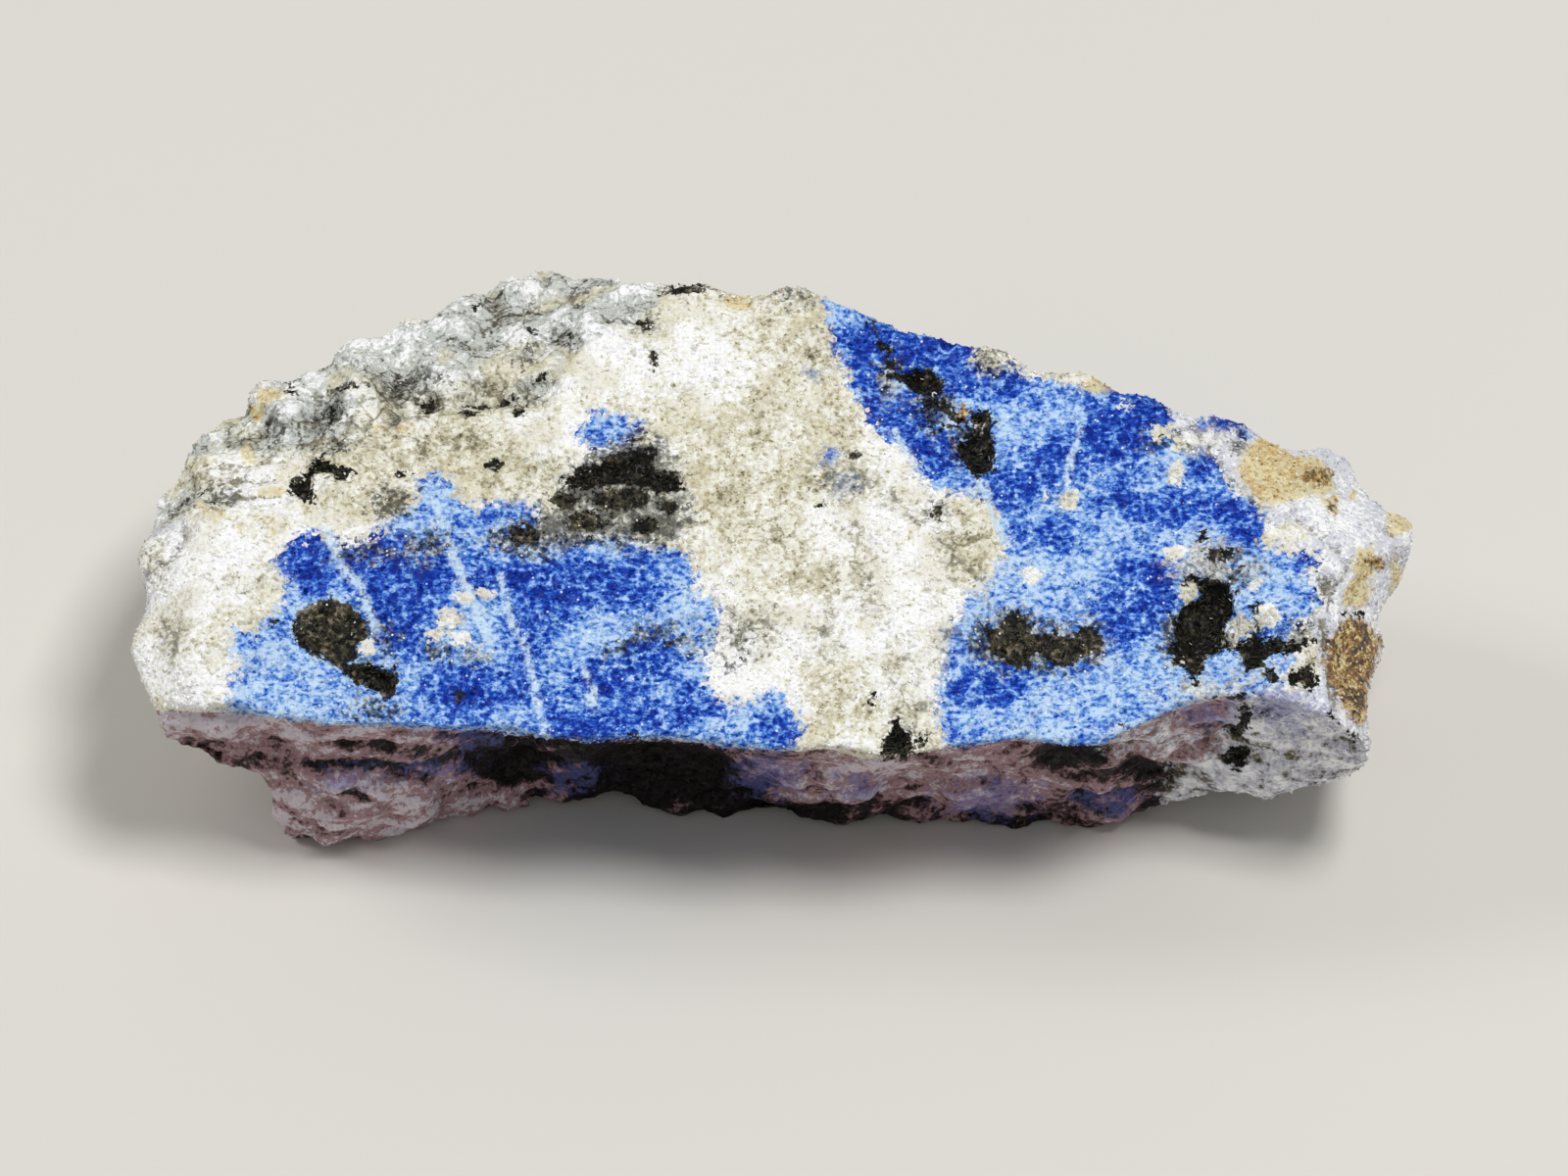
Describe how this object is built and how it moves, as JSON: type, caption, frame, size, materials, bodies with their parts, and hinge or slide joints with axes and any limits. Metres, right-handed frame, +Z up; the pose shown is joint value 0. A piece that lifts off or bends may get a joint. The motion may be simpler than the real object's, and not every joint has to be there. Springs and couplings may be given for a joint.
{
  "type": "rough vishnevite stone",
  "caption": "Rough broken stone with a flat blue and cream face, dark specks, ochre stains and an undercut front, lying on its base.",
  "frame": {"origin": "on the floor under the middle of the stone's box", "axes": "+X along the stone, +Y away from the showy face's lower edge, +Z up from the base"},
  "size_m": [0.1004, 0.0478, 0.0283],
  "materials": {
    "vishnevite_rock": "broken sugary rock: saturated blue and cream-white grains with near-black, brown and ochre patches, dull with small glints"
  },
  "bodies": {
    "root": {"stone": "vishnevite_rock"}
  },
  "joints": []
}
